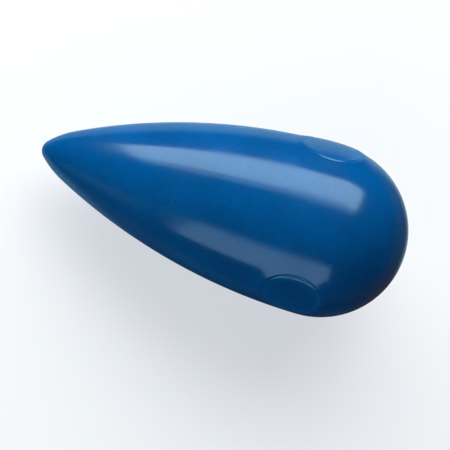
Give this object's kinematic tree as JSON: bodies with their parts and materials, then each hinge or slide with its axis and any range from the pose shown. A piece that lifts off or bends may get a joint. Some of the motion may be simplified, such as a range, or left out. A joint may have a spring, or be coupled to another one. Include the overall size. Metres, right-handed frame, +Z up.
{
  "type": "drop-shaped wax crayon",
  "caption": "Drop-shaped wax crayon for a small hand: a pointed flank that swells into a half-ball butt, with round grip pads spaced round the widest part.",
  "frame": {"origin": "on the floor, under the middle of the bounding box, with the crayon lying on its side", "axes": "+X from the drawing tip towards the butt, along the floor; +Z up; one grip pad underneath, the other two high on the -Y and +Y sides"},
  "size_m": [0.0644, 0.03, 0.0309],
  "materials": {
    "wax": "deep blue moulded wax with a semi-gloss skin"
  },
  "bodies": {
    "root": {"crayon": "wax"}
  },
  "joints": []
}
